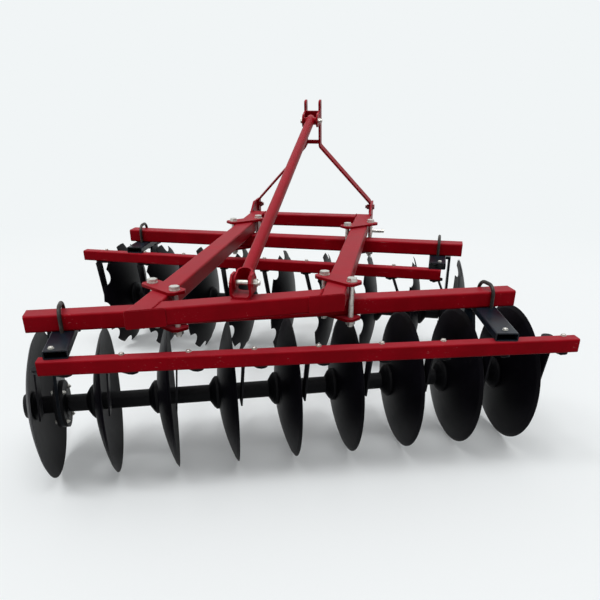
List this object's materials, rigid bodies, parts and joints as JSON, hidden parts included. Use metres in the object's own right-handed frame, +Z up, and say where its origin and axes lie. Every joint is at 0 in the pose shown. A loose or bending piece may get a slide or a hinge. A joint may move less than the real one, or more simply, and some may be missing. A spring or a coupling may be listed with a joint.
{
  "type": "offset disc harrow",
  "caption": "Three-point mounted offset disc harrow: red tube frame and mast over a notched front gang and a plain rear gang of dished discs, with scrapers.",
  "frame": {"origin": "on the ground under the middle of the overall length and width", "axes": "+X to the right and the longest extent, +Y forward, the way it is towed, +Z up"},
  "size_m": [2.3093, 2.1159, 1.275],
  "materials": {
    "red_paint": "semi-gloss, worn at edges",
    "disc_black": "satin",
    "arm_black": "semi-gloss",
    "cast_black": "rough, painted",
    "dark_steel": "black oxide, dull",
    "zinc": "zinc plated",
    "bright_pin": "plated",
    "shaft_steel": "rolled bar, dull"
  },
  "bodies": {
    "frame": {"longitudinal_left": "red_paint", "longitudinal_right": "red_paint", "front_crossbar": "red_paint", "rear_crossbar": "red_paint", "hitch_plate_left": "red_paint", "hitch_plate_right": "red_paint", "lower_link_pin_left": "bright_pin", "lower_link_pin_right": "bright_pin", "mast_bar_left": "red_paint", "mast_bar_right": "red_paint", "mast_spacer": "red_paint", "strut_bracket": "red_paint", "back_strut": "red_paint", "strut_fork": "red_paint", "strut_clevis": "red_paint", "hitch_bolts": "zinc", "clamp_upper_plates": "red_paint", "clamp_lower_plates": "red_paint", "clamp_bolts": "zinc", "front_gang_beam": "red_paint", "front_scraper_beam": "red_paint", "front_arm_left": "arm_black", "front_arm_right": "arm_black", "front_u_bolts": "dark_steel", "front_hangers": "arm_black", "front_housings_left": "cast_black", "front_housings_right": "cast_black", "front_scrapers": "disc_black", "rear_gang_beam": "red_paint", "rear_scraper_beam": "red_paint", "rear_arm_left": "arm_black", "rear_arm_right": "arm_black", "rear_u_bolts": "dark_steel", "rear_hangers": "arm_black", "rear_housings_left": "cast_black", "rear_housings_right": "cast_black", "rear_scrapers": "disc_black"},
    "front_gang": {"front_discs": "disc_black", "front_spools": "cast_black", "front_end_washers": "cast_black", "front_shaft": "shaft_steel"},
    "rear_gang": {"rear_discs": "disc_black", "rear_spools": "cast_black", "rear_end_washers": "cast_black", "rear_shaft": "shaft_steel"}
  },
  "joints": [
    {"name": "front_gang_spin", "type": "hinge", "parent": "frame", "child": "front_gang", "pos_m": [-0.1187, 0.608, 0.28], "axis": [0.9992, -0.0401, 0], "continuous": true},
    {"name": "rear_gang_spin", "type": "hinge", "parent": "frame", "child": "rear_gang", "pos_m": [0.1153, -0.4873, 0.28], "axis": [0.9449, 0.3272, 0], "continuous": true}
  ]
}
